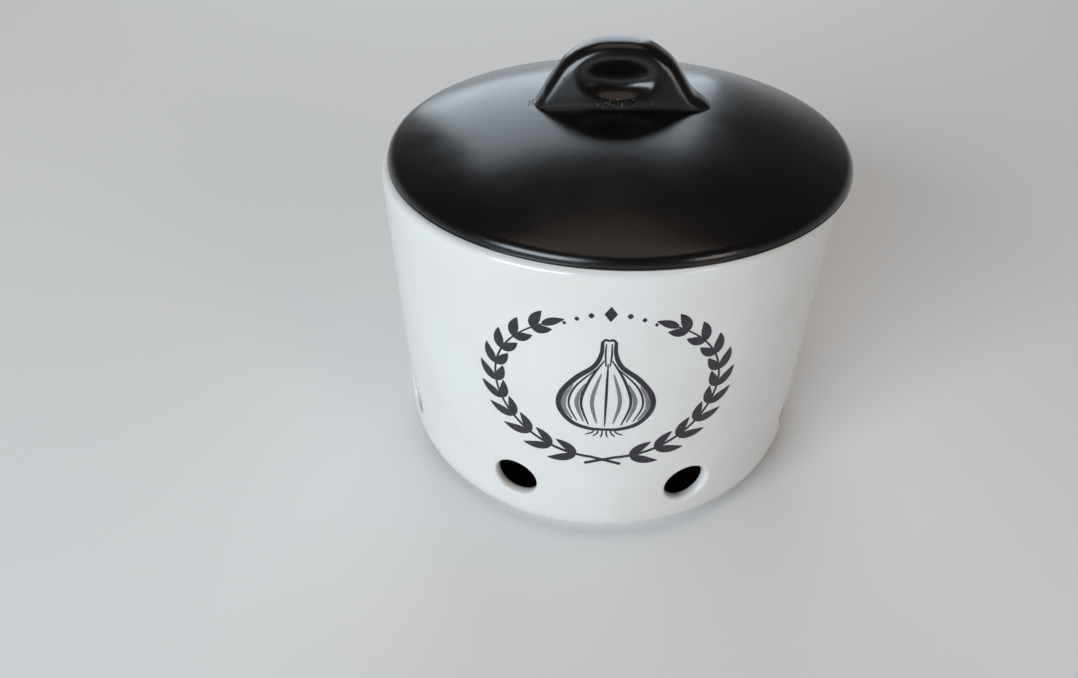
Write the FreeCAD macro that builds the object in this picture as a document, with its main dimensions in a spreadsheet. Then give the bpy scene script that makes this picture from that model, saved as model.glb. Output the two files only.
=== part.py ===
import FreeCAD, Part
import math
import os
import types

import Sketcher
from FreeCAD import Placement, Rotation, Vector

# A garlic keeper: a vented stoneware pot with a loose domed lid that carries a pinch handle.
# Millimetres, +Z up. The origin is on the axis of the pot, in the plane it stands on.
# -Y is the front of the pot, and the handle lies along X.

doc = FreeCAD.newDocument("garlic_keeper")
sheet = doc.addObject("Spreadsheet::Sheet", "Sizes")

DRIVING_SIZES = (
    # the pot
    ("pot_height", 110.8, "from the table to the rim that the lid sits on"),
    ("pot_rim_radius", 73.7, "outside of the wall at the rim"),
    ("pot_flare", 0.6, "how much wider the pot is at the rim than at the table, each side"),
    ("pot_wall", 4.0, "thickness of the wall"),
    ("pot_floor", 6.0, "height of the floor inside"),
    ("pot_corner", 13.6, "rounding between the wall and the base, outside"),
    ("pot_floor_corner", 9.0, "rounding between the wall and the floor, inside"),
    ("rim_outer_round", 2.8, "rounding of the rim, outside"),
    ("rim_inner_round", 0.9, "rounding of the rim, inside"),
    ("foot_width", 9.6, "width of the ring that the pot stands on"),
    ("foot_recess", 1.4, "how far the middle of the base is hollowed"),
    ("foot_slope", 2.0, "width of the slope from the foot ring up into that hollow"),
    # the vents
    ("vent_count", 8, "vents round the pot, with the front midway between two of them"),
    ("vent_bore", 14.8, "diameter of a vent"),
    ("vent_height", 25.0, "centre of a vent above the table"),
    ("vent_outer_lip", 0.9, "rounding of a vent's outer edge"),
    ("vent_inner_lip", 1.2, "rounding of a vent's inner edge"),
    # the lid
    ("lid_inset", 0.1, "how much smaller than the rim the lid is, each side"),
    ("lid_edge", 3.6, "thickness of the lid at its edge"),
    ("lid_rise", 16.6, "from the rim of the pot to the crown of the dome"),
    ("lid_wall", 4.6, "thickness of the dome"),
    ("lid_top_round", 2.8, "rounding of the lid's edge, above"),
    ("lid_under_round", 1.4, "rounding of the lid's edge, below"),
    ("ring_play", 2.7, "clearance all round between the locating ring and the mouth"),
    ("ring_touch", 0.4, "clearance left on the side that the lid is pushed to"),
    ("ring_wall", 5.0, "thickness of the locating ring"),
    ("ring_depth", 5.0, "how far the locating ring hangs into the mouth"),
    ("ring_round", 1.4, "rounding of the locating ring's lower edges"),
    ("hollow_round", 3.0, "rounding between the locating ring and the underside of the dome"),
    # the handle, measured from the axis and the crown of the lid
    ("handle_length", 84.0, "tip to tip of its lens-shaped root, inside the dome"),
    ("handle_depth", 22.6, "front to back of that root"),
    ("handle_root", 6.0, "depth of that root under the crown"),
    ("handle_lean", 12.5, "degrees that the front and the back lean in"),
    ("handle_rise", 18.4, "top of the arch above the crown"),
    ("arch_offset", -0.6, "middle of the arch off the axis of the lid"),
    ("foot_inset", 16.8, "how far inside the root's tips the arch's feet stand, at the crown"),
    ("arch_top_half", 13.7, "half the arch's level top, before it is rounded"),
    ("arch_round", 18.0, "rounding of both ends of the level top"),
    ("flare_left", 3.0, "how far the left foot flares out along the dome"),
    ("flare_right", 5.5, "how far the right foot flares out along the dome"),
    ("heel_rise", 2.2, "height above the crown at which the feet flare out"),
    ("heel_round", 5.0, "rounding where the feet flare out"),
    ("handle_edge_round", 4.3, "rounding of the arch's front and back edges"),
    ("recess_web", 5.4, "clay left between the two finger recesses"),
    ("recess_rise", 9.5, "middle of a finger recess above the crown"),
    ("recess_reach", 6.0, "middle of a recess to the middle of its round end, at the web"),
    ("recess_end_radius", 2.2, "radius of a recess's round ends, at the web"),
    ("recess_draft", 30.0, "degrees that the recess's sides open outwards"),
    ("recess_floor_round", 3.4, "rounding between the recess's sides and the web"),
    ("recess_lip", 2.4, "rounding of the recess's rim"),
)

# How near an edge must lie to where it is looked for.
NEAR = 0.05


class Size:
    """A length from the sheet: its number now, and the formula that keeps a feature bound to it."""

    def __init__(self, value, formula):
        self.value = value
        self.formula = formula

    def __add__(self, other):
        return Size(self.value + other.value, f"({self.formula} + {other.formula})")

    def __sub__(self, other):
        return Size(self.value - other.value, f"({self.formula} - {other.formula})")

    def __neg__(self):
        return Size(-self.value, f"(-1 * {self.formula})")

    def __truediv__(self, other):
        return Size(self.value / other.value, f"({self.formula} / {other.formula})")

    def __mul__(self, other):
        return Size(self.value * other.value, f"({self.formula} * {other.formula})")

    def half(self):
        return Size(self.value / 2, f"({self.formula} / 2)")


def read_sizes():
    cells = {}
    for row, (alias, value, meaning) in enumerate(DRIVING_SIZES, start=1):
        sheet.set(f"A{row}", meaning)
        sheet.set(f"B{row}", str(value))
        sheet.setAlias(f"B{row}", alias)
        cells[alias] = Size(float(value), f"Sizes.{alias}")
    doc.recompute()
    return types.SimpleNamespace(**cells)


S = read_sizes()
ZERO = Size(0.0, "0")

# Levels and radii that several pieces share.
crown = S.pot_height + S.lid_rise
base_radius = S.pot_rim_radius - S.pot_flare
mouth_radius = S.pot_rim_radius - S.pot_wall
lid_radius = S.pot_rim_radius - S.lid_inset
ring_radius = mouth_radius - S.ring_play
lid_shift = S.ring_play - S.ring_touch


def origin_of(body, role):
    return next(feature for feature in body.Origin.OriginFeatures if feature.Role == role)


def new_body(name):
    body = doc.addObject("PartDesign::Body", name)
    body.Label = name
    return body


def new_sketch(body, name, role):
    sketch = body.newObject("Sketcher::SketchObject", name)
    sketch.AttachmentSupport = [(origin_of(body, role), "")]
    sketch.MapMode = "FlatFace"
    return sketch


def bind(sketch, kind, line, end, size, name):
    """Ties one coordinate of a line's end, measured from the sketch's origin, to the sheet."""
    if kind == "DistanceX" and size is ZERO:
        sketch.addConstraint(Sketcher.Constraint("PointOnObject", line, end, -2))
    elif kind == "DistanceY" and size is ZERO:
        sketch.addConstraint(Sketcher.Constraint("PointOnObject", line, end, -1))
    else:
        index = sketch.addConstraint(Sketcher.Constraint(kind, -1, 1, line, end, size.value))
        sketch.renameConstraint(index, name)
        sketch.setExpression(f"Constraints.{name}", size.formula)


def draw_outline(sketch, corners):
    """Closes straight lines round the named corners, each bound to the sheet both ways."""
    names = list(corners)
    points = [Vector(across.value, up.value, 0) for across, up in corners.values()]
    first = sketch.GeometryCount
    for index, point in enumerate(points):
        sketch.addGeometry(Part.LineSegment(point, points[(index + 1) % len(points)]))
    for index, name in enumerate(names):
        following = first + (index + 1) % len(points)
        sketch.addConstraint(Sketcher.Constraint("Coincident", first + index, 2, following, 1))
        across, up = corners[name]
        bind(sketch, "DistanceX", first + index, 1, across, f"{name}_across")
        bind(sketch, "DistanceY", first + index, 1, up, f"{name}_up")


def draw_dome(sketch, edge_radius, edge_height, top):
    """Draws the arc of a dome from its edge to the axis, with its centre on the axis."""
    fall = top.value - edge_height.value
    radius = (edge_radius.value**2 + fall**2) / (2 * fall)
    centre = Vector(0, top.value - radius, 0)
    edge = Vector(edge_radius.value, edge_height.value, 0)
    start = (edge - centre).getAngle(Vector(1, 0, 0))
    circle = Part.Circle(centre, Vector(0, 0, 1), radius)
    arc = sketch.addGeometry(Part.ArcOfCircle(circle, start, Vector(0, 1, 0).getAngle(Vector(1, 0, 0))))
    sketch.addConstraint(Sketcher.Constraint("PointOnObject", arc, 3, -2))
    sketch.addConstraint(Sketcher.Constraint("PointOnObject", arc, 2, -2))
    return arc, centre, radius


def turn(body, kind, name, sketch):
    """Turns a sketch all the way round the body's Z axis, to add to it or to cut it."""
    feature = body.newObject(kind, name)
    feature.Profile = sketch
    feature.ReferenceAxis = (origin_of(body, "Z_Axis"), [""])
    feature.Angle = 360
    doc.recompute()
    return feature


def round_edges(body, name, radius, wanted):
    """Rounds every edge of the body so far that wanted() picks."""
    base = body.Tip
    edges = [f"Edge{index}" for index, edge in enumerate(base.Shape.Edges, start=1) if wanted(edge)]
    fillet = body.newObject("PartDesign::Fillet", name)
    fillet.Base = (base, edges)
    fillet.setExpression("Radius", radius.formula)
    doc.recompute()
    return fillet


def circle_at(radius, height):
    """Picks the edge of a turned piece at that radius and height."""

    def wanted(edge):
        box = edge.BoundBox
        level = abs(box.ZMin - height.value) < NEAR and abs(box.ZMax - height.value) < NEAR
        return level and abs(box.XMax - radius.value) < NEAR

    return wanted


def make_pot():
    """A slip-cast pot: a slightly flared wall, a rounded corner down to the foot, and its vents."""
    body = new_body("pot")
    profile = new_sketch(body, "pot_profile", "XZ_Plane")
    floor_radius = mouth_radius - (S.pot_height - S.pot_floor) * S.pot_flare / S.pot_height
    foot_inner = base_radius - S.pot_corner - S.foot_width
    draw_outline(profile, {
        "hollow_middle": (ZERO, S.foot_recess),
        "hollow_edge": (foot_inner - S.foot_slope, S.foot_recess),
        "foot_inner": (foot_inner, ZERO),
        "base_corner": (base_radius, ZERO),
        "rim_outer": (S.pot_rim_radius, S.pot_height),
        "rim_inner": (mouth_radius, S.pot_height),
        "floor_corner": (floor_radius, S.pot_floor),
        "floor_middle": (ZERO, S.pot_floor),
    })
    turn(body, "PartDesign::Revolution", "pot_wall_and_floor", profile)
    round_edges(body, "base_rounding", S.pot_corner, circle_at(base_radius, ZERO))
    round_edges(body, "floor_rounding", S.pot_floor_corner, circle_at(floor_radius, S.pot_floor))
    round_edges(body, "rim_outside", S.rim_outer_round, circle_at(S.pot_rim_radius, S.pot_height))
    round_edges(body, "rim_inside", S.rim_inner_round, circle_at(mouth_radius, S.pot_height))
    cut_vents(body)
    return body


def cut_vents(body):
    """One vent half a step from the front, its copies round the pot, and their glaze-softened lips."""
    sketch = new_sketch(body, "vent_outline", "XZ_Plane")
    sketch.AttachmentOffset = Placement(Vector(), Rotation(Vector(0, 1, 0), 180 / S.vent_count.value))
    sketch.setExpression("AttachmentOffset.Rotation.Angle", f"180 / {S.vent_count.formula}")
    centre = Vector(0, S.vent_height.value, 0)
    bore = sketch.addGeometry(Part.Circle(centre, Vector(0, 0, 1), S.vent_bore.half().value))
    bind(sketch, "DistanceX", bore, 3, ZERO, "vent_middle_across")
    bind(sketch, "DistanceY", bore, 3, S.vent_height, "vent_middle_up")
    index = sketch.addConstraint(Sketcher.Constraint("Diameter", bore, S.vent_bore.value))
    sketch.renameConstraint(index, "vent_bore")
    sketch.setExpression("Constraints.vent_bore", S.vent_bore.formula)

    vent = body.newObject("PartDesign::Pocket", "vent")
    vent.Profile = sketch
    vent.Type = "ThroughAll"
    doc.recompute()

    vents = body.newObject("PartDesign::PolarPattern", "vents")
    vents.Originals = [vent]
    vents.Axis = (origin_of(body, "Z_Axis"), [""])
    vents.Angle = 360
    vents.setExpression("Occurrences", S.vent_count.formula)
    body.Tip = vents
    doc.recompute()

    middle_of_wall = base_radius.value - S.pot_wall.value / 2
    round_trip = 3 * S.vent_bore.value

    def vent_edge(edge, outside):
        middle = edge.CenterOfMass
        at_vent = abs(middle.z - S.vent_height.value) < 1 and edge.Length > round_trip
        small = edge.Length < 2 * round_trip
        return at_vent and small and (Vector(middle.x, middle.y, 0).Length > middle_of_wall) == outside

    round_edges(body, "vent_outer_lips", S.vent_outer_lip, lambda edge: vent_edge(edge, True))
    round_edges(body, "vent_inner_lips", S.vent_inner_lip, lambda edge: vent_edge(edge, False))


def make_lid():
    """A cast dome: a thick soft edge, a flat seat and a ring that keeps it in the mouth."""
    body = new_body("lid")
    profile = new_sketch(body, "lid_profile", "XZ_Plane")
    edge_height = S.pot_height + S.lid_edge
    ring_foot = S.pot_height - S.ring_depth
    ring_bore = ring_radius - S.ring_wall

    dome, centre, dome_radius = draw_dome(profile, lid_radius, edge_height, crown)
    bind(profile, "DistanceY", dome, 2, crown, "crown_up")

    hollow_radius = dome_radius - S.lid_wall.value
    rise = (hollow_radius**2 - ring_bore.value**2) ** 0.5
    hollow_edge = Vector(ring_bore.value, centre.y + rise, 0)
    start = (hollow_edge - centre).getAngle(Vector(1, 0, 0))
    quarter = Vector(0, 1, 0).getAngle(Vector(1, 0, 0))
    hollow = profile.addGeometry(
        Part.ArcOfCircle(Part.Circle(centre, Vector(0, 0, 1), hollow_radius), start, quarter)
    )
    profile.addConstraint(Sketcher.Constraint("Coincident", hollow, 3, dome, 3))
    profile.addConstraint(Sketcher.Constraint("PointOnObject", hollow, 2, -2))
    bind(profile, "DistanceY", hollow, 2, crown - S.lid_wall, "hollow_top_up")

    path = {
        "edge_top": (lid_radius, edge_height),
        "seat_outer": (lid_radius, S.pot_height),
        "seat_inner": (ring_radius, S.pot_height),
        "ring_outer": (ring_radius, ring_foot),
        "ring_inner": (ring_bore, ring_foot),
    }
    corners = [Vector(across.value, up.value, 0) for across, up in path.values()] + [hollow_edge]
    lines = [
        profile.addGeometry(Part.LineSegment(begin, end)) for begin, end in zip(corners, corners[1:])
    ]
    for line, name in zip(lines, path):
        across, up = path[name]
        bind(profile, "DistanceX", line, 1, across, f"{name}_across")
        bind(profile, "DistanceY", line, 1, up, f"{name}_up")
    for line, following in zip(lines, lines[1:]):
        profile.addConstraint(Sketcher.Constraint("Coincident", line, 2, following, 1))
    profile.addConstraint(Sketcher.Constraint("Coincident", dome, 1, lines[0], 1))
    profile.addConstraint(Sketcher.Constraint("Coincident", hollow, 1, lines[-1], 2))
    profile.addConstraint(Sketcher.Constraint("Vertical", lines[-1]))
    axis_line = profile.addGeometry(
        Part.LineSegment(Vector(0, crown.value - S.lid_wall.value, 0), Vector(0, crown.value, 0))
    )
    profile.addConstraint(Sketcher.Constraint("Coincident", axis_line, 1, hollow, 2))
    profile.addConstraint(Sketcher.Constraint("Coincident", axis_line, 2, dome, 2))

    turn(body, "PartDesign::Revolution", "lid_dome_and_ring", profile)
    round_edges(body, "edge_above", S.lid_top_round, circle_at(lid_radius, edge_height))
    round_edges(body, "edge_below", S.lid_under_round, circle_at(lid_radius, S.pot_height))
    round_edges(body, "ring_outside", S.ring_round, circle_at(ring_radius, ring_foot))
    round_edges(body, "ring_inside", S.ring_round, circle_at(ring_bore, ring_foot))
    hollow_level = Size(hollow_edge.y, "")
    round_edges(body, "hollow_corner", S.hollow_round, circle_at(ring_bore, hollow_level))
    body.setExpression("Placement.Base.x", lid_shift.formula)
    return body


def make_handle():
    """A pressed arch luted to the dome: bowed faces, flared feet and a finger recess each side."""
    body = new_body("lid_handle")
    top = crown + S.handle_rise
    root = crown - S.handle_root

    plan = new_sketch(body, "handle_root_plan", "XY_Plane")
    plan.setExpression("AttachmentOffset.Base.z", root.formula)
    draw_lens(plan, S.handle_length.half(), S.handle_depth.half())
    block = body.newObject("PartDesign::Pad", "bowed_block")
    block.Profile = plan
    block.setExpression("Length", (top - root).formula)
    block.setExpression("TaperAngle", (-S.handle_lean).formula)
    doc.recompute()

    trim = new_sketch(body, "arch_trim", "XZ_Plane")
    foot_half = S.handle_length.half() - S.foot_inset
    heel_half = foot_half - (foot_half - S.arch_top_half) * S.heel_rise / S.handle_rise
    left_tip = S.arch_offset - foot_half - S.flare_left
    right_tip = S.arch_offset + foot_half + S.flare_right
    left_top = S.arch_offset - S.arch_top_half
    right_top = S.arch_offset + S.arch_top_half
    heel = crown + S.heel_rise
    below_root = root - S.handle_root
    draw_outline(trim, {
        "left_root": (left_tip, below_root),
        "left_tip": (left_tip, crown - S.heel_rise),
        "left_heel": (S.arch_offset - heel_half, heel),
        "top_left": (left_top, top),
        "top_right": (right_top, top),
        "right_heel": (S.arch_offset + heel_half, heel),
        "right_tip": (right_tip, crown - S.heel_rise),
        "right_root": (right_tip, below_root),
    })
    draw_outline(trim, {
        "frame_low_left": (-S.handle_length, below_root - S.handle_root),
        "frame_high_left": (-S.handle_length, top + S.handle_root),
        "frame_high_right": (S.handle_length, top + S.handle_root),
        "frame_low_right": (S.handle_length, below_root - S.handle_root),
    })
    arch = body.newObject("PartDesign::Pocket", "arch")
    arch.Profile = trim
    arch.Type = "ThroughAll"
    arch.Midplane = True
    doc.recompute()

    def across_at(out, height):
        def wanted(edge):
            box = edge.BoundBox
            near_x = abs(box.XMin - out.value) < NEAR and abs(box.XMax - out.value) < NEAR
            return near_x and abs(box.ZMin - height.value) < NEAR and abs(box.ZMax - height.value) < NEAR

        return wanted

    round_edges(body, "left_of_top", S.arch_round, across_at(left_top, top))
    round_edges(body, "right_of_top", S.arch_round, across_at(right_top, top))
    round_edges(body, "left_heel", S.heel_round, across_at(S.arch_offset - heel_half, heel))
    round_edges(body, "right_heel", S.heel_round, across_at(S.arch_offset + heel_half, heel))

    def along_arch(edge):
        box = edge.BoundBox
        lengthwise = box.YLength < box.XLength
        return lengthwise and edge.CenterOfMass.z > (crown - S.heel_rise).value

    round_edges(body, "soft_edges", S.handle_edge_round, along_arch)
    cut_recesses(body)
    seat_on_dome(body)
    body.setExpression("Placement.Base.x", lid_shift.formula)
    return body


def draw_lens(sketch, half_length, half_depth):
    """Two equal arcs from tip to tip, bowed to the front and to the back."""
    radius = (half_length * half_length + half_depth * half_depth) / (half_depth + half_depth)
    spread = math.asin(half_length.value / radius.value)
    for name, side in (("front", -1), ("back", 1)):
        centre = Vector(0, -side * (radius.value - half_depth.value), 0)
        middle = side * math.pi / 2
        circle = Part.Circle(centre, Vector(0, 0, 1), radius.value)
        bow = sketch.addGeometry(Part.ArcOfCircle(circle, middle - spread, middle + spread))
        sketch.addConstraint(Sketcher.Constraint("PointOnObject", bow, 3, -2))
        index = sketch.addConstraint(Sketcher.Constraint("Radius", bow, radius.value))
        sketch.renameConstraint(index, f"{name}_bow")
        sketch.setExpression(f"Constraints.{name}_bow", radius.formula)
    # The front arc runs left to right and the back arc right to left, so the right tip follows.
    sketch.addConstraint(Sketcher.Constraint("Coincident", 0, 2, 1, 1))
    sketch.addConstraint(Sketcher.Constraint("Coincident", 1, 2, 0, 1))
    bind(sketch, "DistanceX", 0, 1, -half_length, "left_tip")
    bind(sketch, "DistanceY", 0, 1, ZERO, "left_tip_up")


def draw_slot(sketch, middle_across, middle_up, reach, end_radius):
    """A level slot: two half circles joined by two tangent lines."""
    up = middle_up.value
    left = middle_across - reach
    right = middle_across + reach
    for middle, start in ((left, math.pi / 2), (right, -math.pi / 2)):
        circle = Part.Circle(Vector(middle.value, up, 0), Vector(0, 0, 1), end_radius.value)
        sketch.addGeometry(Part.ArcOfCircle(circle, start, start + math.pi))
    # The left end runs from top to bottom and the right end from bottom to top.
    foot = Vector(0, up - end_radius.value, 0)
    head = Vector(0, up + end_radius.value, 0)
    across = [Vector(left.value, 0, 0), Vector(right.value, 0, 0)]
    sketch.addGeometry(Part.LineSegment(across[0] + foot, across[1] + foot))
    sketch.addGeometry(Part.LineSegment(across[1] + head, across[0] + head))
    for arc, arc_end, line, line_end in ((0, 2, 2, 1), (0, 1, 3, 2), (1, 1, 2, 2), (1, 2, 3, 1)):
        sketch.addConstraint(Sketcher.Constraint("Tangent", arc, arc_end, line, line_end))
    for arc, middle, side in ((0, left, "left"), (1, right, "right")):
        bind(sketch, "DistanceX", arc, 3, middle, f"{side}_across")
        bind(sketch, "DistanceY", arc, 3, middle_up, f"{side}_up")
    index = sketch.addConstraint(Sketcher.Constraint("Radius", 0, end_radius.value))
    sketch.renameConstraint(index, "end_radius")
    sketch.setExpression("Constraints.end_radius", end_radius.formula)


def cut_recesses(body):
    """A bowl for a fingertip in the front face, mirrored to the back, soft at its floor and rim."""
    outline = new_sketch(body, "recess_outline", "XZ_Plane")
    outline.setExpression("AttachmentOffset.Base.z", S.recess_web.half().formula)
    draw_slot(outline, S.arch_offset, crown + S.recess_rise, S.recess_reach, S.recess_end_radius)
    recess = body.newObject("PartDesign::Pocket", "front_recess")
    recess.Profile = outline
    recess.Reversed = True
    recess.setExpression("Length", S.handle_depth.formula)
    recess.setExpression("TaperAngle", S.recess_draft.formula)
    doc.recompute()

    recesses = body.newObject("PartDesign::Mirrored", "recesses")
    recesses.Originals = [recess]
    recesses.MirrorPlane = (origin_of(body, "XZ_Plane"), [""])
    body.Tip = recesses
    doc.recompute()

    web = S.recess_web.half()
    floor_reach = S.recess_reach + S.recess_end_radius
    middle = Vector(S.arch_offset.value, 0, (crown + S.recess_rise).value)

    def floor(edge):
        box = edge.BoundBox
        flat = box.YLength < NEAR and abs(abs(box.YMin) - web.value) < NEAR
        return flat and abs(edge.CenterOfMass.x - middle.x) < floor_reach.value + NEAR

    def rim(edge):
        box = edge.BoundBox
        away = max(abs(box.XMin - middle.x), abs(box.XMax - middle.x))
        outside = min(abs(box.YMin), abs(box.YMax)) > (web + S.recess_end_radius).value
        level = abs(edge.CenterOfMass.z - middle.z) < (S.recess_rise - S.heel_rise).value
        return outside and level and away < S.arch_top_half.value

    round_edges(body, "recess_floors", S.recess_floor_round, floor)
    round_edges(body, "recess_rims", S.recess_lip, rim)


def seat_on_dome(body):
    """Cuts the handle's underside to the dome that it is luted to."""
    under = new_sketch(body, "under_dome", "XZ_Plane")
    edge_height = S.pot_height + S.lid_edge
    dome, centre, dome_radius = draw_dome(under, lid_radius, edge_height, crown)
    bind(under, "DistanceX", dome, 1, lid_radius, "edge_across")
    bind(under, "DistanceY", dome, 1, edge_height, "edge_up")
    bind(under, "DistanceY", dome, 2, crown, "crown_up")
    below = under.addGeometry(
        Part.LineSegment(Vector(0, crown.value, 0), Vector(0, 0, 0)), False
    )
    table = under.addGeometry(
        Part.LineSegment(Vector(0, 0, 0), Vector(lid_radius.value, 0, 0)), False
    )
    side = under.addGeometry(
        Part.LineSegment(Vector(lid_radius.value, 0, 0), Vector(lid_radius.value, edge_height.value, 0)),
        False,
    )
    under.addConstraint(Sketcher.Constraint("Coincident", below, 1, dome, 2))
    under.addConstraint(Sketcher.Constraint("Coincident", below, 2, -1, 1))
    under.addConstraint(Sketcher.Constraint("Coincident", table, 1, below, 2))
    under.addConstraint(Sketcher.Constraint("Coincident", side, 1, table, 2))
    under.addConstraint(Sketcher.Constraint("Coincident", side, 2, dome, 1))
    under.addConstraint(Sketcher.Constraint("Horizontal", table))
    under.addConstraint(Sketcher.Constraint("Vertical", side))
    turn(body, "PartDesign::Groove", "seat", under)


bodies = [make_pot(), make_lid(), make_handle()]
doc.recompute()

for feature in doc.Objects:
    if "Invalid" in feature.State or "Error" in feature.State:
        raise RuntimeError(f"{feature.Name} failed: {feature.State}")

os.makedirs("parts", exist_ok=True)
for body in bodies:
    if body.Shape.isNull() or not body.Shape.isValid() or len(body.Shape.Solids) != 1:
        raise RuntimeError(f"{body.Label} is not one valid solid")
    body.Shape.exportStep(f"parts/{body.Label}.step")
    box = body.Shape.BoundBox
    print(
        f"{body.Label}: volume {body.Shape.Volume:.0f} mm3,"
        f" X {box.XMin:.1f} to {box.XMax:.1f}, Y {box.YMin:.1f} to {box.YMax:.1f},"
        f" Z {box.ZMin:.1f} to {box.ZMax:.1f}"
    )
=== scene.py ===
import math
import random

import bmesh
import bpy
from mathutils import Euler, Matrix, Vector


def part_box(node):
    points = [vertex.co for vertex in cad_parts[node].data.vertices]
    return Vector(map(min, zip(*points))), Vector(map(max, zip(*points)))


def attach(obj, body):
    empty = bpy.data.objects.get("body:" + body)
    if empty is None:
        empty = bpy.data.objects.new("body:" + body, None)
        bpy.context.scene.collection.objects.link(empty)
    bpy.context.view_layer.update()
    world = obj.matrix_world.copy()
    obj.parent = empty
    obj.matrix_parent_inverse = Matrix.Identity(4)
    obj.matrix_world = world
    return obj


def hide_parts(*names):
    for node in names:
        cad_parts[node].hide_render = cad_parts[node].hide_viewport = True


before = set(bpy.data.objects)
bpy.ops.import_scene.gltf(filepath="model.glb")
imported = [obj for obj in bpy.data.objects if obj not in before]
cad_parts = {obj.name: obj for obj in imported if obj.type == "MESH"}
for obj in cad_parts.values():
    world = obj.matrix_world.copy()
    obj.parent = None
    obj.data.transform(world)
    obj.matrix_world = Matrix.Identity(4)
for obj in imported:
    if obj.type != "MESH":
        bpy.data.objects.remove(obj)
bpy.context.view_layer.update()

# ---------------------------------------------------------------------------
# The camera. It looks down at the front of the pot from close by, a little left
# of the middle and a hand's breadth higher than the handle, through a wide lens.
# ---------------------------------------------------------------------------
camera_place = Vector((-0.0095, -0.2417, 0.2236))
camera_down = math.radians(38.70)
camera_turn = math.radians(3.3)
camera_roll = math.radians(-0.63)
camera_lens_mm = 26.45

bpy.ops.object.select_all(action="DESELECT")
bpy.ops.object.camera_add(location=camera_place)
camera = bpy.context.object
camera.name = "camera"
look = Euler((math.pi / 2 - camera_down, 0, camera_turn)).to_matrix()
camera.rotation_euler = (look @ Matrix.Rotation(camera_roll, 3, "Z")).to_euler()
camera.data.sensor_width = 36
camera.data.lens = camera_lens_mm
camera.data.clip_start = 0.01
bpy.context.scene.camera = camera
bpy.context.scene.view_settings.view_transform = "Standard"

# ---------------------------------------------------------------------------
# The room: a plain pale round table, a broad window a little left of straight
# behind, which the black glaze mirrors, cool light from the front left and a weak
# warm lamp on the right. The pale walls dim upwards, below a warm ceiling glow.
# ---------------------------------------------------------------------------
floor_tone = (0.88, 0.88, 0.87, 1)
cool_tone = (0.80, 0.91, 1.0)
warm_tone = (1.0, 0.90, 0.82)
table_radius = 1.45

bpy.ops.mesh.primitive_circle_add(vertices=128, radius=table_radius, fill_type="NGON", location=(0, 0, 0))
floor = bpy.context.object
floor.name = "floor"
floor_paint = bpy.data.materials.new("floor_paint")
floor_paint.use_nodes = True
floor_shader = floor_paint.node_tree.nodes["Principled BSDF"]
floor_shader.inputs["Base Color"].default_value = floor_tone
floor_shader.inputs["Roughness"].default_value = 0.9
floor.data.materials.append(floor_paint)


def light_panel(name, place, aim, width, height, watts, tone):
    bpy.ops.object.light_add(type="AREA", location=place)
    panel = bpy.context.object
    panel.name = name
    panel.data.shape = "RECTANGLE"
    panel.data.size = width
    panel.data.size_y = height
    panel.data.energy = watts
    panel.data.color = tone
    panel.rotation_euler = (Vector(aim) - Vector(place)).to_track_quat("-Z", "Y").to_euler()


lid_middle = (0, 0, 0.12)
pot_middle = (0, 0, 0.06)
light_panel("window", (-0.10, 1.38, 0.68), lid_middle, 1.02, 1.08, 7.6, cool_tone)
light_panel("left_sky", (-0.84, -1.18, 0.70), pot_middle, 1.0, 0.52, 18.5, cool_tone)
light_panel("right_lamp", (1.02, -1.06, 0.60), pot_middle, 0.42, 0.42, 2.6, warm_tone)

# The tones of the walls and ceiling, from straight down (0) by eye level (0.5) to straight up (1).
wall_tones = (
    (0.50, (0.42, 0.43, 0.45, 1)),
    (0.56, (0.26, 0.265, 0.27, 1)),
    (0.64, (0.085, 0.085, 0.085, 1)),
    (0.94, (0.07, 0.065, 0.06, 1)),
    (0.965, (0.90, 0.73, 0.62, 1)),
)
room = bpy.data.worlds.new("room")
room.use_nodes = True
sky = room.node_tree
sky_way = sky.nodes.new("ShaderNodeTexCoord")
sky_split = sky.nodes.new("ShaderNodeSeparateXYZ")
sky_level = sky.nodes.new("ShaderNodeMapRange")
sky_ramp = sky.nodes.new("ShaderNodeValToRGB")
sky_level.inputs["From Min"].default_value = -1
sky.links.new(sky_way.outputs["Generated"], sky_split.inputs[0])
sky.links.new(sky_split.outputs["Z"], sky_level.inputs["Value"])
sky.links.new(sky_level.outputs["Result"], sky_ramp.inputs["Fac"])
sky.links.new(sky_ramp.outputs["Color"], sky.nodes["Background"].inputs["Color"])
while len(sky_ramp.color_ramp.elements) < len(wall_tones):
    sky_ramp.color_ramp.elements.new(0.5)
for element, (position, tone) in zip(sky_ramp.color_ramp.elements, wall_tones):
    element.position = position
    element.color = tone
bpy.context.scene.world = room

# ---------------------------------------------------------------------------
# The pot: slip-cast stoneware, glazed gloss white outside, with the ring it was
# fired on left bare; its inside is coloured dark brown as painted shade. The wall
# is one lathe form, and its vents were cut by hand while the clay was soft.
# ---------------------------------------------------------------------------
mm = 0.001
_, pot_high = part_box("pot")
pot_height = pot_high.z
rim_radius = pot_high.x
base_radius = rim_radius - 0.6 * mm
wall = 4.0 * mm
pot_floor = 6.0 * mm
base_round = 13.6 * mm
foot_radius = base_radius - base_round - 9.6 * mm
foot_recess = 1.4 * mm
floor_round = 9.0 * mm
rim_outer_round = 2.8 * mm
rim_inner_round = 0.9 * mm
vent_count = 8
vent_height = 25.0 * mm
turns = 96
patch_half = 2


def wall_radius(height):
    return base_radius + (rim_radius - base_radius) * height / pot_height


def arc(centre_r, centre_z, radius, start, stop, steps):
    """Points on a quarter or so of a circle, in the profile's own plane, from start to stop degrees."""
    angles = [math.radians(start + (stop - start) * step / steps) for step in range(steps + 1)]
    return [(centre_r + radius * math.cos(a), centre_z + radius * math.sin(a)) for a in angles]


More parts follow.
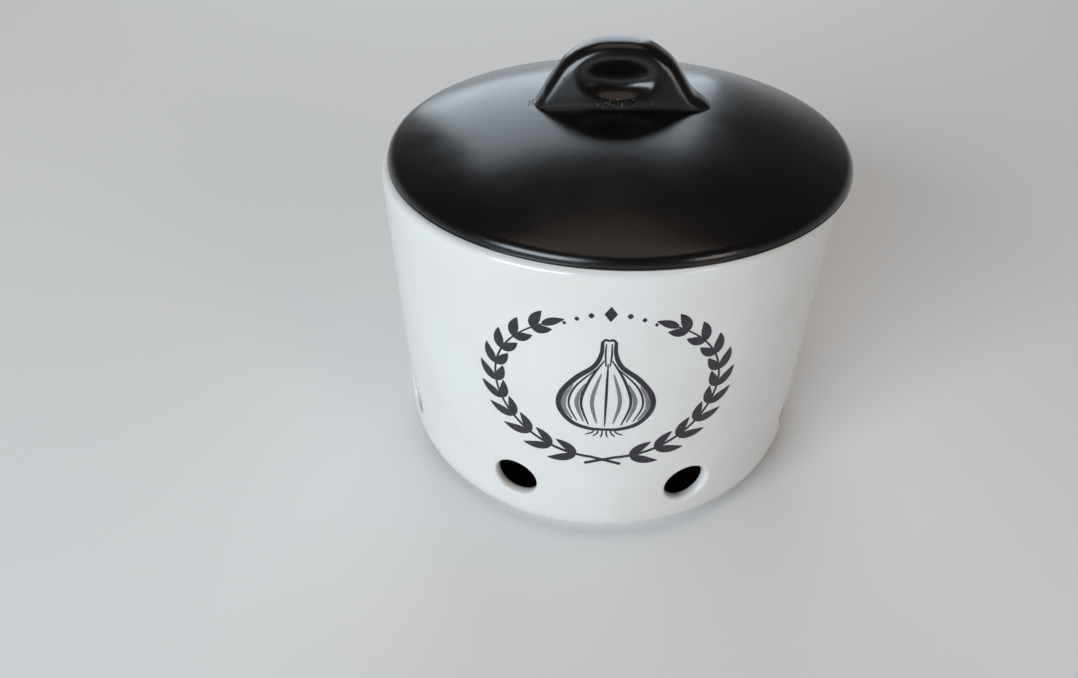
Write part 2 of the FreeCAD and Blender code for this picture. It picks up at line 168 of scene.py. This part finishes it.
def turned(name, profile, steps):
    """Draws a profile of (radius, height) by extruding one point, and spins it once round the Z axis."""
    bpy.ops.object.select_all(action="DESELECT")
    bpy.ops.mesh.primitive_plane_add(size=mm, location=(0, 0, 0))
    piece = bpy.context.object
    piece.name = name
    bpy.ops.object.mode_set(mode="EDIT")
    bpy.ops.mesh.merge(type="CENTER")
    bpy.ops.transform.translate(value=(profile[0][0], 0, profile[0][1]))
    for (radius, height), (next_radius, next_height) in zip(profile, profile[1:]):
        step = (next_radius - radius, 0, next_height - height)
        bpy.ops.mesh.extrude_region_move(TRANSFORM_OT_translate={"value": step})
    bpy.ops.mesh.select_all(action="SELECT")
    bpy.ops.mesh.spin(steps=steps, angle=math.tau, center=(0, 0, 0), axis=(0, 0, 1))
    bpy.ops.mesh.select_all(action="SELECT")
    bpy.ops.mesh.remove_doubles(threshold=0.00001)
    bpy.ops.mesh.normals_make_consistent(inside=False)
    bpy.ops.object.mode_set(mode="OBJECT")
    return piece


patch_rows = [
    vent_height + step * math.pi * rim_radius / turns * 2
    for step in range(-patch_half, patch_half + 1)
]
wall_rows = (52 * mm, 72 * mm, 92 * mm)
pot_profile = (
    [(0, foot_recess), (30 * mm, foot_recess), (foot_radius - 2.6 * mm, foot_recess)]
    + [(foot_radius - 1.4 * mm, foot_recess - 0.4 * mm), (foot_radius - 0.2 * mm, 0.1 * mm)]
    + [(foot_radius + 0.8 * mm, 0), (foot_radius + 4 * mm, 0), (base_radius - base_round - 1 * mm, 0)]
    + arc(base_radius - base_round, base_round, base_round, -84, -6, 5)
    + [(wall_radius(z), z) for z in patch_rows]
    + [(wall_radius(z), z) for z in (*wall_rows, pot_height - rim_outer_round - 1.5 * mm)]
    + arc(rim_radius - rim_outer_round, pot_height - rim_outer_round, rim_outer_round, 8, 82, 3)
    + arc(rim_radius - wall + rim_inner_round, pot_height - rim_inner_round, rim_inner_round, 98, 172, 2)
    + [(wall_radius(z) - wall, z) for z in (pot_height - 3.5 * mm, *reversed(wall_rows))]
    + [(wall_radius(z) - wall, z) for z in reversed(patch_rows)]
    + arc(base_radius - wall - floor_round, pot_floor + floor_round, floor_round, 0, -88, 4)
    + [(35 * mm, pot_floor), (0, pot_floor)]
)
pot = turned("pot_glazed", pot_profile, turns)

# Each vent is a 4 by 4 patch of both walls taken out and bridged by a tunnel,
# whose rows are then drawn in to round lips and a hand-cut bore. Each row gives
# its radius and its depth under the outside of the wall, in millimetres.
vent_rows = (
    (9.15, 0.0),
    (8.45, 0.04),
    (7.75, 0.40),
    (7.4, 1.3),
    (7.5, 2.7),
    (7.9, 3.65),
    (8.8, 4.0),
)
nick_count = 8
nicked_below = 1.5 * mm
patch_margin = 1 * mm
shallowest, deepest = 0.02, 0.98
half_turn = math.tau / turns * (patch_half + 0.2)
half_rise = patch_rows[-1] - vent_height + 0.2 * mm
cut_wobble = random.Random(4)
for vent in range(vent_count):
    turn = math.tau * (vent + 0.5) / vent_count
    outward = Vector((math.sin(turn), -math.cos(turn), 0))
    across = Vector((math.cos(turn), math.sin(turn), 0))

    bpy.ops.object.mode_set(mode="EDIT")
    work = bmesh.from_edit_mesh(pot.data)
    bpy.ops.mesh.select_all(action="DESELECT")
    for face in work.faces:
        middle = face.calc_center_median()
        in_turn = outward.angle(Vector((middle.x, middle.y, 0)), math.pi) < half_turn
        level = abs(middle.z - vent_height) < half_rise - patch_margin
        face.select = in_turn and level
    bpy.ops.mesh.delete(type="FACE")
    work = bmesh.from_edit_mesh(pot.data)
    for edge in work.edges:
        edge.select = edge.is_boundary
    bmesh.update_edit_mesh(pot.data)
    bpy.ops.mesh.bridge_edge_loops(number_cuts=len(vent_rows), interpolation="LINEAR")

    work = bmesh.from_edit_mesh(pot.data)
    nick = [cut_wobble.uniform(-0.6, 0.4) * mm for _ in range(nick_count)]
    for vert in work.verts:
        flat = Vector((vert.co.x, vert.co.y, 0))
        depth = (wall_radius(vert.co.z) - flat.length) / wall
        near = outward.angle(flat, math.pi) < half_turn and abs(vert.co.z - vent_height) < half_rise
        if not near or depth < shallowest or depth > deepest:
            continue
        row = round(depth * (len(vent_rows) + 1)) - 1
        along = vert.co.dot(across) / vert.co.dot(outward) * rim_radius
        rise = vert.co.z - vent_height
        if abs(along) >= abs(rise):
            angle = math.pi / 4 * (rise / along) + (0 if along > 0 else math.pi)
        else:
            angle = math.pi / 2 - math.pi / 4 * (along / rise) + (0 if rise > 0 else math.pi)
        radius, sunk = vent_rows[row][0] * mm, vent_rows[row][1] * mm
        if sunk > nicked_below:
            sector = angle / math.tau * nick_count % nick_count
            share = sector - int(sector)
            radius += nick[int(sector)] * (1 - share) + nick[(int(sector) + 1) % nick_count] * share
        beside, above = radius * math.cos(angle), radius * math.sin(angle)
        reach = math.sqrt(wall_radius(vent_height + above) ** 2 - beside**2) - sunk
        vert.co = outward * reach + across * beside + Vector((0, 0, vent_height + above))
    bmesh.update_edit_mesh(pot.data)
    bpy.ops.object.mode_set(mode="OBJECT")

pot_smooth = pot.modifiers.new("smooth_glaze", "SUBSURF")
pot_smooth.levels = 2
pot_smooth.render_levels = 2
bpy.ops.object.modifier_apply(modifier=pot_smooth.name)
bpy.ops.object.shade_smooth()


class Recipe:
    """A new material and short ways to add and join its nodes; texture scales are per metre."""

    def __init__(self, name):
        self.material = bpy.data.materials.new(name)
        self.material.use_nodes = True
        self.tree = self.material.node_tree
        self.shader = self.tree.nodes["Principled BSDF"]
        self.place = self.add("ShaderNodeTexCoord").outputs["Object"]

    def add(self, kind, **settings):
        node = self.tree.nodes.new(kind)
        for key, value in settings.items():
            setattr(node, key, value)
        return node

    def join(self, source, target):
        self.tree.links.new(source, target)

    def noise(self, scale, detail=2.0, roughness=0.5):
        node = self.add("ShaderNodeTexNoise")
        node.inputs["Scale"].default_value = scale
        node.inputs["Detail"].default_value = detail
        node.inputs["Roughness"].default_value = roughness
        self.join(self.place, node.inputs["Vector"])
        return node.outputs["Fac"]

    def ramp(self, source, *stops):
        """Colours or greys at places from 0 to 1 along the source."""
        node = self.add("ShaderNodeValToRGB")
        elements = node.color_ramp.elements
        while len(elements) < len(stops):
            elements.new(0.5)
        for element, (position, tone) in zip(elements, stops):
            element.position = position
            element.color = tone if isinstance(tone, tuple) else (tone, tone, tone, 1)
        self.join(source, node.inputs["Fac"])
        return node.outputs["Color"]

    def math(self, kind, first, second):
        node = self.add("ShaderNodeMath", operation=kind)
        for socket, value in zip(node.inputs, (first, second)):
            if isinstance(value, (int, float)):
                socket.default_value = value
            else:
                self.join(value, socket)
        return node.outputs[0]

    def blend(self, amount, first, second):
        """Two colours mixed by an amount that varies over the surface."""
        node = self.add("ShaderNodeMix", data_type="RGBA")
        self.join(amount, node.inputs["Factor"])
        for socket, value in ((node.inputs[6], first), (node.inputs[7], second)):
            if isinstance(value, tuple):
                socket.default_value = value
            else:
                self.join(value, socket)
        return node.outputs[2]

    def spots(self, scale, radius, share):
        """Sparse round spots, 1 inside: about one cell in every 1/share holds one."""
        node = self.add("ShaderNodeTexVoronoi")
        node.inputs["Scale"].default_value = scale
        self.join(self.place, node.inputs["Vector"])
        inside = self.ramp(node.outputs["Distance"], (0.0, 1.0), (radius, 0.0))
        split = self.add("ShaderNodeSeparateColor")
        self.join(node.outputs["Color"], split.inputs[0])
        chosen = self.math("LESS_THAN", split.outputs[0], share)
        return self.math("MULTIPLY", inside, chosen)

    def bump(self, height, distance, strength, before=None):
        node = self.add("ShaderNodeBump")
        node.inputs["Distance"].default_value = distance
        node.inputs["Strength"].default_value = strength
        self.join(height, node.inputs["Height"])
        if before is not None:
            self.join(before, node.inputs["Normal"])
        return node.outputs["Normal"]


white_glaze_thick = (0.80, 0.79, 0.775, 1)
white_glaze_thin = (0.765, 0.745, 0.715, 1)
iron_speck = (0.30, 0.22, 0.15, 1)
bare_clay = (0.60, 0.53, 0.44, 1)
bare_foot_rough = (0.75, 0.75, 0.75, 1)
# Painted shade: the dark browns of the inside of the pot, and the radius, just out from the inner face of
# the wall, where they begin.
shade_brown_inside = (0.034, 0.022, 0.015, 1)
shade_amber_inside = (0.056, 0.035, 0.021, 1)
shade_edge_inside = base_radius - wall + 0.4 * mm

glaze = Recipe("white_glaze")
cloud = glaze.ramp(glaze.noise(38, 3), (0.35, white_glaze_thick), (0.72, white_glaze_thin))
speckled = glaze.blend(glaze.spots(150, 0.035, 0.16), cloud, iron_speck)
height_of = glaze.add("ShaderNodeSeparateXYZ")
glaze.join(glaze.place, height_of.inputs[0])
ragged_foot = glaze.math("ADD", height_of.outputs["Z"], glaze.math("MULTIPLY", glaze.noise(240, 2), 0.0007))
bare_foot = glaze.ramp(glaze.math("MULTIPLY", ragged_foot, 300), (0.14, 1.0), (0.24, 0.0))
# Painted shade: the inside of the pot is coloured dark brown, starting at a ragged line a little way into
# the bore of each vent.
squares = [glaze.math("MULTIPLY", height_of.outputs[axis], height_of.outputs[axis]) for axis in "XY"]
from_axis = glaze.math("SQRT", glaze.math("ADD", squares[0], squares[1]), 0)
wall_lean = (rim_radius - base_radius) / pot_height
upright = glaze.math("SUBTRACT", from_axis, glaze.math("MULTIPLY", height_of.outputs["Z"], wall_lean))
ragged_edge = glaze.math("ADD", upright, glaze.math("MULTIPLY", glaze.noise(400, 3), 0.0005))
below_edge = glaze.math("SUBTRACT", shade_edge_inside + 0.25 * mm, ragged_edge)
within = glaze.ramp(glaze.math("MULTIPLY", below_edge, 2500), (0.2, 0.0), (0.8, 1.0))
painted_shade_mask = glaze.math("MULTIPLY", within, glaze.math("GREATER_THAN", height_of.outputs["Z"], pot_floor / 2))
painted_shade_tone = glaze.ramp(glaze.noise(60, 3), (0.35, shade_brown_inside), (0.75, shade_amber_inside))
outside = glaze.blend(bare_foot, speckled, bare_clay)
glaze.join(glaze.blend(painted_shade_mask, outside, painted_shade_tone), glaze.shader.inputs["Base Color"])
gloss = glaze.ramp(glaze.noise(90, 2), (0.3, 0.13), (0.75, 0.21))
glaze.join(glaze.blend(bare_foot, gloss, bare_foot_rough), glaze.shader.inputs["Roughness"])
wavy = glaze.bump(glaze.noise(55, 1), 0.0012, 0.10)
peel = glaze.bump(glaze.noise(420, 2), 0.0002, 0.14, wavy)
glaze.join(glaze.bump(glaze.noise(1500, 2), 0.0002, 0.05, peel), glaze.shader.inputs["Normal"])
pot.data.materials.clear()
pot.data.materials.append(glaze.material)
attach(pot, "pot")
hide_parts("pot")

# ---------------------------------------------------------------------------
# The print: a ceramic transfer fired onto the front of the pot, a hair proud of
# the glaze. Two leafy branches tied at the foot stand round a garlic bulb drawn
# in bold lines, with a diamond and dots between their tips, in black and grey.
# ---------------------------------------------------------------------------
ink_proud = 0.04 * mm
ink_depth = 0.14 * mm


class Transfer:
    """Pen strokes on the unrolled wall, (along, up) in millimetres, fired onto it as one thin film."""

    def __init__(self):
        self.strokes = []

    def stroke(self, line, widths):
        """A ribbon along a line of points, as wide at each as the widths say."""
        self.strokes.append((line, widths))

    def line(self, knots, thick, thin, steps=8):
        """A pen line through its knots, thick in the middle and thin at both ends."""
        curve = through(knots, steps)
        last = len(curve) - 1
        self.stroke(curve, [thin + (thick - thin) * math.sin(math.pi * i / last) for i in range(last + 1)])

    def leaf(self, root, angle, length, width, curl):
        """A pointed leaf that leaves its root at an angle and curls as it goes."""
        steps = 9
        line, along, up = [], root[0], root[1]
        for step in range(steps + 1):
            line.append((along, up))
            way = angle + curl * step / steps
            along += math.cos(way) * length / steps
            up += math.sin(way) * length / steps
        shares = [step / steps for step in range(steps + 1)]
        self.stroke(line, [0.16 + width * math.sin(math.pi * share**0.8) ** 0.9 for share in shares])

    def mirror(self):
        """Adds the left half of everything drawn so far on the right."""
        self.strokes += [([(-along, up) for along, up in line], widths) for line, widths in self.strokes]

    def fired(self, name, material):
        """Lays a narrow grid along each stroke, wraps it round the wall and gives it its thickness."""
        bpy.ops.object.select_all(action="DESELECT")
        bpy.ops.mesh.primitive_plane_add(size=1, location=(0, 0, 0))
        piece = bpy.context.object
        piece.name = name
        bpy.ops.object.mode_set(mode="EDIT")
        bpy.ops.mesh.delete(type="VERT")
        for line, widths in self.strokes:
            bpy.ops.mesh.primitive_grid_add(x_subdivisions=2, y_subdivisions=len(line) - 1, size=1)
            work = bmesh.from_edit_mesh(piece.data)
            for vert in (vert for vert in work.verts if vert.select):
                index = round((vert.co.y + 0.5) * (len(line) - 1))
                before, after = line[max(index - 1, 0)], line[min(index + 1, len(line) - 1)]
                way = Vector((after[0] - before[0], after[1] - before[1])).normalized()
                off = vert.co.x * widths[index]
                along, up = line[index][0] + way.y * off, line[index][1] - way.x * off
                radius = wall_radius(up * mm) + ink_proud
                turn = along * mm / rim_radius
                vert.co = (radius * math.sin(turn), -radius * math.cos(turn), up * mm)
            bmesh.update_edit_mesh(piece.data)
            bpy.ops.mesh.select_all(action="DESELECT")
        work = bmesh.from_edit_mesh(piece.data)
        work.normal_update()
        for face in work.faces:
            middle = face.calc_center_median()
            if face.normal.dot(Vector((middle.x, middle.y, 0))) < 0:
                face.normal_flip()
        bmesh.update_edit_mesh(piece.data)
        bpy.ops.object.mode_set(mode="OBJECT")
        film = piece.modifiers.new("ink_film", "SOLIDIFY")
        film.thickness = ink_depth
        film.offset = -1
        bpy.ops.object.modifier_apply(modifier=film.name)
        piece.data.materials.append(material)
        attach(piece, "pot")
        return piece


def through(knots, steps):
    """A smooth curve through the knots (Catmull-Rom)."""
    ends = [knots[0]] + list(knots) + [knots[-1]]
    curve = []
    for a, b, c, d in zip(ends, ends[1:], ends[2:], ends[3:]):
        for step in range(steps):
            t = step / steps
            spot = []
            for p, q, r, s in zip(a, b, c, d):
                square = (2 * p - 5 * q + 4 * r - s) * t**2
                cube = (3 * q - p - 3 * r + s) * t**3
                spot.append(0.5 * (2 * q + (r - p) * t + square + cube))
            curve.append(tuple(spot))
    return curve + [tuple(knots[-1])]


def ink(name, dense, worn):
    recipe = Recipe(name)
    tone = recipe.ramp(recipe.noise(600, 3), (0.35, dense), (0.8, worn))
    recipe.join(tone, recipe.shader.inputs["Base Color"])
    sheen = recipe.ramp(recipe.noise(200, 2), (0.3, 0.30), (0.8, 0.42))
    recipe.join(sheen, recipe.shader.inputs["Roughness"])
    recipe.join(recipe.bump(recipe.noise(1400, 2), 0.0001, 0.12), recipe.shader.inputs["Normal"])
    return recipe.material


black_dense, black_worn = (0.016, 0.015, 0.020, 1), (0.034, 0.032, 0.042, 1)
grey_dense, grey_worn = (0.16, 0.165, 0.18, 1), (0.24, 0.245, 0.26, 1)
black_ink = ink("black_ink", black_dense, black_worn)
grey_ink = ink("grey_ink", grey_dense, grey_worn)

bulb_foot = 54.5
bulb_scale = 1.1
black_half = Transfer()
grey_half = Transfer()

# One branch of the wreath, with leaves in pairs that shorten towards its tip.
wreath_middle, wreath_wide, wreath_tall = 69.4, 34.0, 27.2
leaf_pairs = 10
first_leaf, leaf_spacing = -76, 14.0
longest_leaf, leaf_shrink = 9.8, 0.31
branch = [
    (wreath_wide * math.cos(math.radians(t)), wreath_middle + wreath_tall * math.sin(math.radians(t)))
    for t in range(-84, 58, 4)
]
stem_tail = [(-5.6, 39.4), (-1.8, 40.8)]
stem_widths = [1.1] * 2 + [1.05 - 0.6 * i / len(branch) for i in range(len(branch))]
black_half.stroke(stem_tail + branch, stem_widths)
for pair in range(leaf_pairs):
    t = math.radians(first_leaf + leaf_spacing * pair)
    root = (wreath_wide * math.cos(t), wreath_middle + wreath_tall * math.sin(t))
    along_branch = math.atan2(wreath_tall * math.cos(t), -wreath_wide * math.sin(t))
    length = longest_leaf - leaf_shrink * pair
    black_half.leaf(root, along_branch - math.radians(44), length, 3.0, math.radians(30))
    black_half.leaf(root, along_branch + math.radians(40), length * 0.86, 2.8, math.radians(-26))
tip = branch[-1]
black_half.leaf(tip, math.radians(150), 7.1, 2.4, math.radians(14))


def over_foot(*knots):
    """Knots measured up from the foot of the bulb."""
    return [(along * bulb_scale, bulb_foot + up * bulb_scale) for along, up in knots]


# The bulb: a bold outline, finer clove lines, a cut neck, roots, and grey shade.
outline_top = over_foot((1.7, 30.5), (1.9, 26.5), (3.6, 22.4), (8.2, 18.0))
outline_low = over_foot((12.0, 12.2), (12.4, 6.9), (9.2, 2.2), (4.4, 0.2), (0, 0))
black_half.line(outline_top + outline_low, 1.7, 0.9)
black_half.line(over_foot((1.0, 24.5), (4.6, 17.5), (6.6, 9.5), (4.4, 1.6)), 0.9, 0.35)
black_half.line(over_foot((2.0, 22.5), (8.0, 15.4), (9.9, 8.8), (7.6, 2.8)), 0.65, 0.3)
black_half.line(over_foot((0.7, 30.0), (0.8, 26.5), (0.5, 22.5)), 0.5, 0.3)
black_half.line(over_foot((0, 30.9), (0.9, 31.2), (1.8, 30.4)), 0.8, 0.6)
for hair, reach in ((0.5, 3.0), (1.6, 2.7), (2.7, 2.2)):
    black_half.line(over_foot((hair, -0.2), (hair * 1.25, -reach * 0.6), (hair * 1.9, -reach)), 0.5, 0.3)
grey_half.line(over_foot((8.8, 15.6), (11.0, 10.9), (11.1, 7.2), (8.8, 3.2)), 1.5, 0.3)
grey_half.line(over_foot((5.6, 16.4), (7.8, 9.8), (5.8, 2.6)), 1.3, 0.3)
grey_half.line(over_foot((1.6, 20.0), (3.7, 10.5), (2.2, 2.2)), 1.2, 0.3)

# Dots that shrink outwards on a shallow arc between the tips of the branches.
for dot, size in ((5.2, 1.7), (9.1, 1.4), (12.5, 1.1)):
    high = 97.6 - 0.025 * dot**2
    ring = [(dot - size / 2 + size * step / 8, high) for step in range(9)]
    round_widths = [max(0.05, size * math.sin(math.pi * step / 8)) for step in range(9)]
    black_half.stroke(ring, round_widths)
black_half.mirror()
grey_half.mirror()
black_half.line(over_foot((0, 23.5), (0, 12.5), (0, 1.2)), 0.8, 0.3)
black_half.stroke([(0, 100.1), (0, 97.6), (0, 95.1)], [0.1, 3.6, 0.1])
black_half.fired("print_black", black_ink)
grey_half.fired("print_grey", grey_ink)

# ---------------------------------------------------------------------------
# The lid: a cast dome in black satin glaze, thick and soft at its edge, with a
# bare flat seat and a ring below that keeps it in the mouth of the pot.
# ---------------------------------------------------------------------------
lid_low, lid_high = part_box("lid")
lid_shift = (lid_low.x + lid_high.x) / 2
lid_radius = (lid_high.x - lid_low.x) / 2
crown = lid_high.z
lid_edge = 3.6 * mm
lid_wall = 4.6 * mm
ring_radius = rim_radius - wall - 2.7 * mm
ring_bore = ring_radius - 5.0 * mm
ring_foot = lid_low.z
dome_fall = crown - pot_height - lid_edge
dome_radius = (lid_radius**2 + dome_fall**2) / (2 * dome_fall)
dome_centre = crown - dome_radius


def dome_height(radius, skin=0.0):
    return dome_centre + math.sqrt((dome_radius - skin) ** 2 - radius**2)


top_round = 4.0 * mm
under_round = 1.2 * mm
ring_round = 1.4 * mm
top_centre_r = lid_radius - top_round
top_centre_z = dome_centre + math.sqrt((dome_radius - top_round) ** 2 - top_centre_r**2)
top_angle = math.degrees(math.atan2(top_centre_z - dome_centre, top_centre_r))
dome_edge = dome_radius * math.cos(math.radians(top_angle))
dome_radii = [dome_edge * step / 24 for step in range(24)]
hollow_radii = [ring_bore * step / 16 for step in range(15, -1, -1)]
hollow_round = 3 * mm
hollow_drop = 2.9 * mm
lid_profile = (
    [(radius, dome_height(radius)) for radius in dome_radii]
    + arc(top_centre_r, top_centre_z, top_round, top_angle, 0, 7)
    + arc(lid_radius - under_round, pot_height + under_round, under_round, 0, -90, 5)
    + [(71 * mm, pot_height), (69 * mm, pot_height), (ring_radius + 0.3 * mm, pot_height)]
    + [(ring_radius, pot_height - 0.3 * mm)]
    + arc(ring_radius - ring_round, ring_foot + ring_round, ring_round, 0, -90, 4)
    + arc(ring_bore + ring_round, ring_foot + ring_round, ring_round, -90, -180, 4)
    + [(ring_bore, ring_foot + 3 * mm), (ring_bore, ring_foot + 4.5 * mm)]
    + arc(ring_bore - hollow_round, dome_height(ring_bore, lid_wall) - hollow_drop, hollow_round, 0, 70, 4)
    + [(radius, dome_height(radius, lid_wall)) for radius in hollow_radii]
)
lid = turned("lid_glazed", lid_profile, 192)
for vert in lid.data.vertices:
    vert.co.x += lid_shift
bpy.ops.object.shade_smooth()

black_glaze_deep = (0.0024, 0.0023, 0.0025, 1)
black_glaze_brown = (0.0052, 0.0041, 0.0035, 1)
bare_seat_rough = (0.8, 0.8, 0.8, 1)

satin = Recipe("black_glaze")
tone = satin.ramp(satin.noise(24, 3), (0.35, black_glaze_deep), (0.75, black_glaze_brown))
split = satin.add("ShaderNodeSeparateXYZ")
satin.join(satin.place, split.inputs[0])
off_seat = satin.math("ABSOLUTE", satin.math("SUBTRACT", split.outputs["Z"], pot_height), 0)
bare_seat = satin.ramp(satin.math("MULTIPLY", off_seat, 1000), (0.04, 1.0), (0.12, 0.0))
satin.join(satin.blend(bare_seat, tone, bare_clay), satin.shader.inputs["Base Color"])
sheen = satin.ramp(satin.noise(70, 3), (0.3, 0.18), (0.75, 0.24))
satin.join(satin.blend(bare_seat, sheen, bare_seat_rough), satin.shader.inputs["Roughness"])
uneven = satin.bump(satin.noise(45, 2), 0.0012, 0.10)
grain = satin.bump(satin.noise(1500, 3, 0.6), 0.0002, 0.11, uneven)
pimples = satin.bump(satin.spots(75, 0.045, 0.20), 0.0004, 0.5, grain)
satin.join(pimples, satin.shader.inputs["Normal"])
lid.data.materials.clear()
lid.data.materials.append(satin.material)
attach(lid, "lid")
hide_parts("lid")

# ---------------------------------------------------------------------------
# The handle: an arch pressed by hand, luted to the dome with slip and glazed
# with it, so every edge is soft, its feet spread a little on the dome, and both
# faces have a bowl for a fingertip.
# ---------------------------------------------------------------------------
_, handle_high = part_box("lid_handle")
handle_top = handle_high.z
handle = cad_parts["lid_handle"].copy()
handle.data = handle.data.copy()
handle.name = "handle_glazed"
handle.parent = None
for key in list(handle.keys()):
    del handle[key]
bpy.context.scene.collection.objects.link(handle)
bpy.ops.object.select_all(action="DESELECT")
handle.select_set(True)
bpy.context.view_layer.objects.active = handle
bpy.ops.object.mode_set(mode="EDIT")
bpy.ops.mesh.select_all(action="SELECT")
bpy.ops.mesh.remove_doubles(threshold=0.00001)
bpy.ops.object.mode_set(mode="OBJECT")


def melt(piece, passes):
    """Smooths the active piece, more passes for a softer one."""
    softer = piece.modifiers.new("melted_glaze", "SMOOTH")
    softer.factor = 0.5
    softer.iterations = passes
    bpy.ops.object.modifier_apply(modifier=softer.name)


def even_out(piece, voxel):
    """Rebuilds the active piece in faces of one size."""
    even_clay = piece.modifiers.new("even_clay", "REMESH")
    even_clay.mode = "VOXEL"
    even_clay.voxel_size = voxel
    bpy.ops.object.modifier_apply(modifier=even_clay.name)


def over_dome(point):
    """How high a point lies over the dome of the lid."""
    return point.z - dome_height(Vector((point.x - lid_shift, point.y)).length)


# The underside is sunk into the lid's wall, so that melting it opens no gap.
touching = 0.05 * mm
sink = 2.4 * mm
for vert in handle.data.vertices:
    if over_dome(vert.co) < touching:
        vert.co.z -= sink
even_out(handle, 0.42 * mm)

# The plain face of the arch is part of a leaning cone, so its depth is known at
# any place. The bowl is a round hollow in it, deepest a little below its middle.
lens_half_length = 42 * mm
lens_half_depth = 11.3 * mm
lens_radius = (lens_half_length**2 + lens_half_depth**2) / (2 * lens_half_depth)
lens_offset = lens_radius - lens_half_depth
lens_foot = crown - 6 * mm
lean = math.tan(math.radians(12.5))
edge_round = 4.3 * mm
bowl_middle = Vector((lid_shift - 0.8 * mm, 0, crown + 8.4 * mm))
bowl_half_across = 10.8 * mm
bowl_half_up = 5.8 * mm
bowl_hollow = 2.7 * mm
bowl_sag = 0.58
rim_blend = 2.2 * mm


def face_depth(x, z):
    """How far the arch's plain face stands out from its middle, with the rounding of its crest."""
    plain = math.sqrt((lens_radius - (z - lens_foot) * lean) ** 2 - (x - lid_shift) ** 2) - lens_offset
    into_round = min(edge_round, max(0, z - handle_top + edge_round))
    return plain - edge_round + math.sqrt(edge_round**2 - into_round**2)


def bowl_depth(x, z):
    """How far the floor of the pressed bowl stands out from the middle of the arch."""
    rise = (z - bowl_middle.z) / bowl_half_up
    reach = math.hypot((x - bowl_middle.x) / bowl_half_across, rise)
    sag = 1 - bowl_sag * max(-1, min(1, rise))
    return face_depth(x, z) - bowl_hollow * sag * (1 - reach**2.6)


def pressed_depth(x, z):
    """The smaller of face and bowl, with the rim between them rounded off."""
    face, bowl = face_depth(x, z), bowl_depth(x, z)
    nearness = max(0, 1 - abs(face - bowl) / rim_blend)
    return min(face, bowl) - rim_blend / 4 * nearness**2


def press(piece):
    """Presses the bowls into both faces; outside the rim of a bowl the pull fades away."""
    for vert in piece.data.vertices:
        x, z = vert.co.x, vert.co.z
        if over_dome(vert.co) < 0:
            continue
        off = pressed_depth(x, z) - abs(vert.co.y)
        outside = (bowl_depth(x, z) - face_depth(x, z)) / rim_blend
        pull = 1 - max(0, min(1, outside))
        vert.co.y += off * pull * math.copysign(1, vert.co.y)


press(handle)
melt(handle, 10)
even_out(handle, 0.36 * mm)
melt(handle, 70)
press(handle)
melt(handle, 16)

# The shoulders of the arch were rubbed rounder than the block it was pressed
# from, and its left foot was pinched in.
shoulder_drop = 0.9 * mm
shoulder_reach = 14 * mm
pinch_from = -20.5 * mm
pinch_share = 0.30
for vert in handle.data.vertices:
    aside = min(1, abs(vert.co.x - bowl_middle.x) / shoulder_reach)
    height_share = min(1, max(0, (vert.co.z - crown) / (handle_top - crown)))
    vert.co.z -= shoulder_drop * aside**2 * height_share
    vert.co.x += max(0, pinch_from - vert.co.x) * pinch_share
    vert.co.z = min(vert.co.z, handle_top)
bpy.ops.object.shade_smooth()
handle.data.materials.clear()
handle.data.materials.append(satin.material)
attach(handle, "lid")
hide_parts("lid_handle")

# ---------------------------------------------------------------------------
# The slip crumbs: beads of dried slip that were never wiped off. Some lie on the
# dome beside the left foot of the handle, others just below its two bowls.
# ---------------------------------------------------------------------------
dried_slip_dark = (0.020, 0.018, 0.017, 1)
dried_slip_pale = (0.20, 0.19, 0.18, 1)
dried = Recipe("dried_slip")
slip_tone = dried.ramp(dried.noise(900, 2), (0.42, dried_slip_dark), (0.62, dried_slip_pale))
dried.join(slip_tone, dried.shader.inputs["Base Color"])
dried.join(dried.ramp(dried.noise(500, 2), (0.3, 0.25), (0.8, 0.45)), dried.shader.inputs["Roughness"])
dried.join(dried.bump(dried.noise(2500, 2), 0.0001, 0.3), dried.shader.inputs["Normal"])

foot_crumbs = 14
bowl_crumbs = 40
crumb_seed = random.Random(11)
crumbs = []


def crumb(spot, size):
    """A bead of dried slip, a little lumpy and pressed flat."""
    bpy.ops.mesh.primitive_ico_sphere_add(subdivisions=2, radius=size, location=spot)
    bead = bpy.context.object
    for vert in bead.data.vertices:
        vert.co *= crumb_seed.uniform(0.85, 1.15)
    bead.scale = (crumb_seed.uniform(0.8, 1.4), crumb_seed.uniform(0.8, 1.3), 0.7)
    crumbs.append(bead)


foot_end = min(vert.co.x for vert in handle.data.vertices)
for _ in range(foot_crumbs):
    along = foot_end - crumb_seed.uniform(-0.2, 1.8) * mm
    beside = crumb_seed.uniform(-2.6, 1.6) * mm
    size = crumb_seed.uniform(0.12, 0.26) * mm
    crumb((along, beside, dome_height(math.hypot(along - lid_shift, beside)) + size * 0.1), size)

for facing in (-1, 1):
    for _ in range(bowl_crumbs):
        along = bowl_middle.x + crumb_seed.gauss(0, 4.2) * mm
        high = crown + crumb_seed.uniform(0.8, 3.0) * mm
        crumb((along, facing * pressed_depth(along, high), high), crumb_seed.uniform(0.14, 0.30) * mm)
bpy.ops.object.select_all(action="DESELECT")
for bead in crumbs:
    bead.select_set(True)
bpy.context.view_layer.objects.active = crumbs[0]
bpy.ops.object.join()
slip_crumbs = bpy.context.object
slip_crumbs.name = "slip_crumbs"
bpy.ops.object.transform_apply(location=True, rotation=True, scale=True)
bpy.ops.object.shade_smooth()
slip_crumbs.data.materials.clear()
slip_crumbs.data.materials.append(dried.material)
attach(slip_crumbs, "lid")
